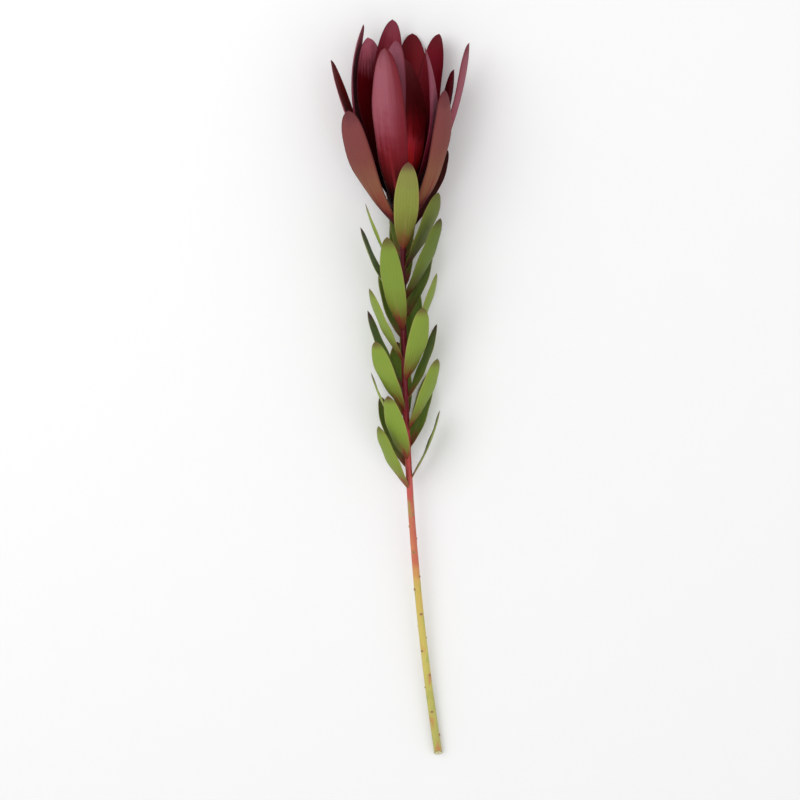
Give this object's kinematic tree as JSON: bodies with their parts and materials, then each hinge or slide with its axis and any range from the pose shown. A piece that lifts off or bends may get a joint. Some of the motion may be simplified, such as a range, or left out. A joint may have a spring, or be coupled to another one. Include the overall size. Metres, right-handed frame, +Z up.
{
  "type": "leucadendron stem",
  "caption": "Cut stem lying down, with narrow leathery leaves in a spiral and a cupped red flower head of upright bracts round a small cone.",
  "frame": {"origin": "on the surface that the stem lies on, under the centre of its bounding box", "axes": "+Y along the stem from its cut end to its flower head, +Z up from the surface, +X to the right seen from above with the head pointing away"},
  "size_m": [0.0818, 0.4506, 0.0583],
  "materials": {
    "leaf": "leathery green leaves with a soft sheen, on a crimson to yellow-green stem",
    "bract": "leathery bracts, dusty rose with a bloom outside and deep crimson inside",
    "cone": "matt scales, red-brown with pale green edges",
    "bark": "smooth young bark with a soft sheen"
  },
  "bodies": {
    "root": {"leafy_stem": "leaf", "bract_rosette": "bract", "seed_cone": "cone"}
  },
  "joints": []
}
